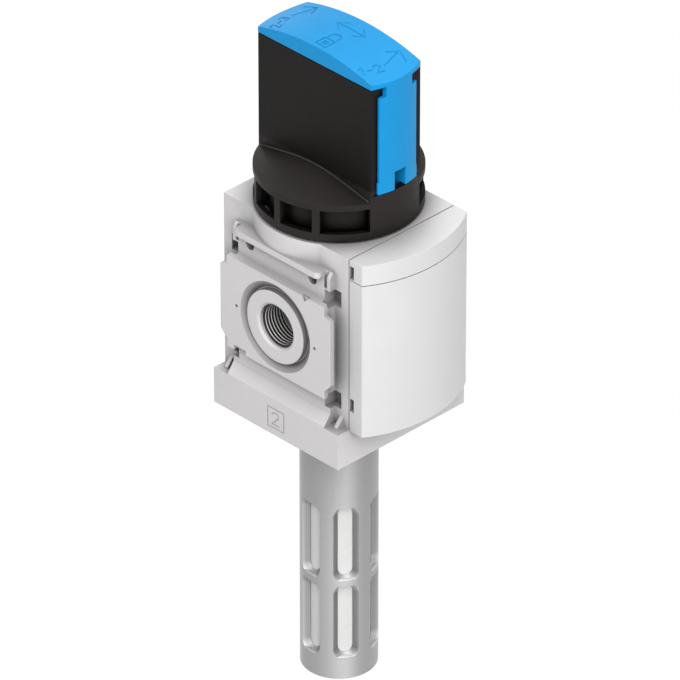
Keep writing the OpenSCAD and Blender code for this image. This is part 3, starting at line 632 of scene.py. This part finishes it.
skin("lock_slide", "locking_slide", cap_signs())
paint_groove_shade(skin("housing", "body", housing_cutter()))
nick_floor("nick_floor_left", -1)
nick_floor("nick_floor_right", 1)
skin("front_cover", "body", edge_mm=0.35)
skin("upper_cover", "body", edge_mm=0.35)
skin("knob", "rotary_knob")
deck_fillet("deck_fillet_left", -1)
deck_fillet("deck_fillet_right", 1)
skin("silencer_tube", "body", edge_mm=0.15, angle=20)
port_thread("outlet_thread", -1)
port_thread("supply_thread", 1)


# Stage, light and camera

def seen_rays(nodes, links):
    """One on a ray that shows the background itself, straight or in a reflection."""
    path = nodes.new("ShaderNodeLightPath")
    seen = path.outputs["Is Camera Ray"]
    for ray in ("Is Glossy Ray", "Is Transmission Ray"):
        either = nodes.new("ShaderNodeMath")
        either.operation = "MAXIMUM"
        links.new(seen, either.inputs[0])
        links.new(path.outputs[ray], either.inputs[1])
        seen = either.outputs[0]
    return seen


def stage_material(name, grey, share):
    """A grey surface that the camera sees as white but for a soft shadow."""
    material = bpy.data.materials.new(name)
    material.use_nodes = True
    nodes, links = material.node_tree.nodes, material.node_tree.links
    nodes.clear()
    part = nodes.new("ShaderNodeMath")
    part.operation = "MULTIPLY"
    part.inputs[1].default_value = share
    links.new(seen_rays(nodes, links), part.inputs[0])
    diffuse = nodes.new("ShaderNodeBsdfDiffuse")
    diffuse.inputs["Color"].default_value = (grey, grey, grey, 1)
    glow = nodes.new("ShaderNodeEmission")
    glow.inputs["Color"].default_value = (1, 1, 1, 1)
    glow.inputs["Strength"].default_value = 1.06
    mix = nodes.new("ShaderNodeMixShader")
    for socket, source in enumerate((part, diffuse, glow)):
        links.new(source.outputs[0], mix.inputs[socket])
    out = nodes.new("ShaderNodeOutputMaterial")
    links.new(mix.outputs[0], out.inputs["Surface"])
    return material


def build_floor():
    bm = bmesh.new()
    bmesh.ops.create_circle(bm, cap_ends=True, segments=96, radius=5.0)
    bmesh.ops.translate(bm, verts=bm.verts, vec=(AXIS_X * MM, 0, TUBE_LOW))
    mesh = bpy.data.meshes.new("floor")
    bm.to_mesh(mesh)
    bm.free()
    new_object("floor", mesh, stage_material("floor_white", 0.4, 0.92))


def softbox(name, towards, distance, width, height, watts):
    """A panel of light that faces the object from a direction, in metres."""
    lamp = bpy.data.lights.new(name, "AREA")
    lamp.shape = "RECTANGLE"
    lamp.size = width
    lamp.size_y = height
    lamp.energy = watts
    obj = bpy.data.objects.new(name, lamp)
    bpy.context.scene.collection.objects.link(obj)
    back = Vector(towards).normalized()
    obj.location = spot(0, 0, 0) + back * distance
    obj.rotation_euler = back.to_track_quat("Z", "Y").to_euler()


def build_world(ambient):
    """A white surround that lights the object with a share of its strength."""
    world = bpy.data.worlds.new("studio")
    world.use_nodes = True
    nodes, links = world.node_tree.nodes, world.node_tree.links
    strength = nodes.new("ShaderNodeMapRange")
    strength.inputs["To Min"].default_value = ambient
    strength.inputs["To Max"].default_value = 1.0
    links.new(seen_rays(nodes, links), strength.inputs["Value"])
    links.new(strength.outputs["Result"], nodes["Background"].inputs["Strength"])
    nodes["Background"].inputs["Color"].default_value = (1, 1, 1, 1)
    bpy.context.scene.world = world


def build_light():
    build_world(0.5)
    softbox("key", (-0.527, -0.369, 0.766), 1.3, 0.8, 0.8, 12)
    softbox("fill", (-0.4, -0.88, 0.259), 1.3, 0.6, 0.8, 8.4)
    softbox("top", (0.3, 0.3, 1.0), 1.4, 0.9, 0.9, 7)
    softbox("side", (0.95, -0.1, 0.35), 1.4, 0.8, 0.8, 2)
    softbox("rear", (0.3, 0.95, 0.15), 1.4, 0.8, 0.8, 3.5)


def build_camera():
    """The camera that was fitted to the photograph."""
    azimuth, elevation = math.radians(-44.465), math.radians(32.645)
    right = Vector((math.cos(azimuth), math.sin(azimuth), 0))
    back = Vector((math.sin(azimuth) * math.cos(elevation),
                   -math.cos(azimuth) * math.cos(elevation), math.sin(elevation)))
    data = bpy.data.cameras.new("photo_camera")
    data.lens = 482.88
    data.sensor_width = 36
    data.clip_start = 0.1
    data.clip_end = 100
    camera = bpy.data.objects.new("photo_camera", data)
    camera.rotation_euler = Matrix((right, back.cross(right), back)).transposed().to_euler()
    camera.location = spot(0, 0, -19.203) + right * 0.3485 * MM + back * 3.19063
    bpy.context.scene.collection.objects.link(camera)
    bpy.context.scene.camera = camera


build_floor()
build_light()
build_camera()
bpy.context.scene.view_settings.view_transform = "Standard"
